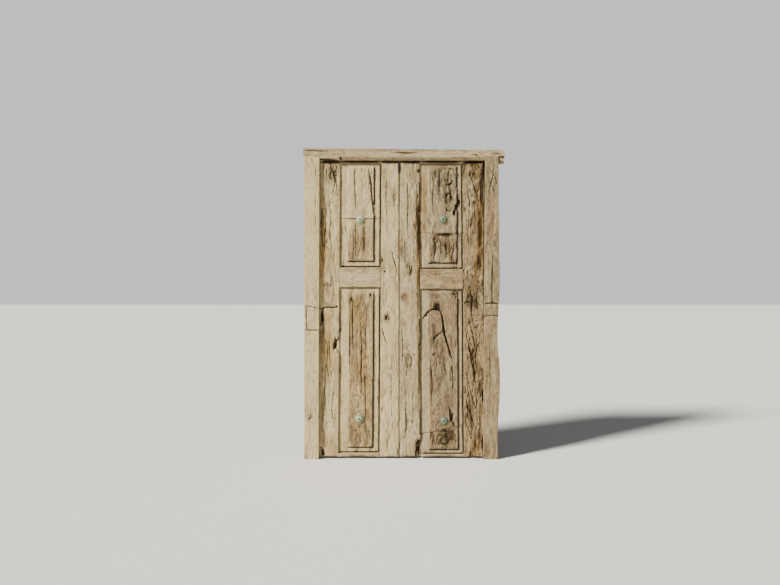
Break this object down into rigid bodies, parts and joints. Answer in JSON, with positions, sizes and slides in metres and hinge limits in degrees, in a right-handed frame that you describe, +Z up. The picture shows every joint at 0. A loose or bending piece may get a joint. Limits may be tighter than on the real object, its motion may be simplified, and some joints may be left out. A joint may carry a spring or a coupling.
{
  "type": "two-leaf weathered timber door in its frame, square-headed, not arched",
  "caption": "Rectangular pair of weathered panelled timber door leaves with round bosses, hung on butt hinges in a rebated timber frame, with a slide bolt inside.",
  "frame": {"origin": "middle of the door's outline on the floor, the frame's front face towards -Y", "axes": "+X to the right seen from the weathered front, +Y towards the inside, +Z up"},
  "size_m": [1.411, 0.097, 2.18],
  "materials": {
    "jamb_timber": "weathered, dry, fine open grain",
    "right_jamb_timber": "weathered, dry, waney edge",
    "head_timber": "weathered, dry, fine open grain",
    "left_stile_timber": "weathered, stained brown along the edges",
    "right_stile_timber": "weathered, gnarled, waney edges",
    "rail_timber": "weathered, smooth",
    "left_panel_timber": "weathered, brown streaks",
    "right_panel_timber": "weathered, gnarled, brown streaks",
    "peg_timber": "split oak, dry",
    "boss_metal": "pale green verdigris",
    "boss_metal_dark": "dull green patina",
    "nail_iron": "rusted",
    "hinge_iron": "rusted, worn at the knuckles",
    "bolt_iron": "dark, worn bright where it slides"
  },
  "bodies": {
    "frame": {"left_jamb": "jamb_timber", "right_jamb": "right_jamb_timber", "head": "head_timber", "frame_pegs": "peg_timber", "left_bottom_hinge_frame_plate": "hinge_iron", "left_top_hinge_frame_plate": "hinge_iron", "right_bottom_hinge_frame_plate": "hinge_iron", "right_top_hinge_frame_plate": "hinge_iron", "left_hinge_pins": "hinge_iron", "right_hinge_pins": "hinge_iron"},
    "left_leaf": {"left_hinge_stile": "left_stile_timber", "left_meeting_stile": "left_stile_timber", "left_top_rail": "rail_timber", "left_middle_rail": "rail_timber", "left_bottom_rail": "rail_timber", "left_leaf_pegs": "peg_timber", "left_upper_panel_top_board": "left_panel_timber", "left_upper_panel_bottom_board": "left_panel_timber", "left_lower_panel": "left_panel_timber", "left_upper_boss": "boss_metal", "left_lower_boss": "boss_metal", "left_boss_nails": "nail_iron", "left_boss_roves": "nail_iron", "left_bottom_hinge_leaf_plate": "hinge_iron", "left_top_hinge_leaf_plate": "hinge_iron", "bolt_keeper": "bolt_iron", "bolt_keeper_nails": "nail_iron"},
    "right_leaf": {"right_hinge_stile": "right_stile_timber", "right_meeting_stile": "right_stile_timber", "right_top_rail": "rail_timber", "right_middle_rail": "rail_timber", "right_bottom_rail": "rail_timber", "right_leaf_pegs": "peg_timber", "right_upper_panel_top_board": "right_panel_timber", "right_upper_panel_bottom_board": "right_panel_timber", "right_lower_panel_top_board": "right_panel_timber", "right_lower_panel_foot_board": "right_panel_timber", "right_upper_boss": "boss_metal_dark", "right_lower_boss": "boss_metal_dark", "right_boss_nails": "nail_iron", "right_boss_roves": "nail_iron", "right_bottom_hinge_leaf_plate": "hinge_iron", "right_top_hinge_leaf_plate": "hinge_iron", "bolt_inner_staple": "bolt_iron", "bolt_outer_staple": "bolt_iron", "bolt_staple_nails": "nail_iron"},
    "slide_bolt": {"slide_bolt": "bolt_iron"}
  },
  "joints": [
    {"name": "left_leaf_hinge", "type": "hinge", "parent": "frame", "child": "left_leaf", "pos_m": [-0.6025, 0.021, 1.05], "axis": [0, 0, 1], "range_deg": [0, 105]},
    {"name": "right_leaf_hinge", "type": "hinge", "parent": "frame", "child": "right_leaf", "pos_m": [0.5795, 0.021, 1.05], "axis": [0, 0, -1], "range_deg": [0, 105]},
    {"name": "bolt_slide", "type": "slide", "parent": "right_leaf", "child": "slide_bolt", "axis": [-1, 0, 0], "range_m": [0, 0.06]}
  ]
}
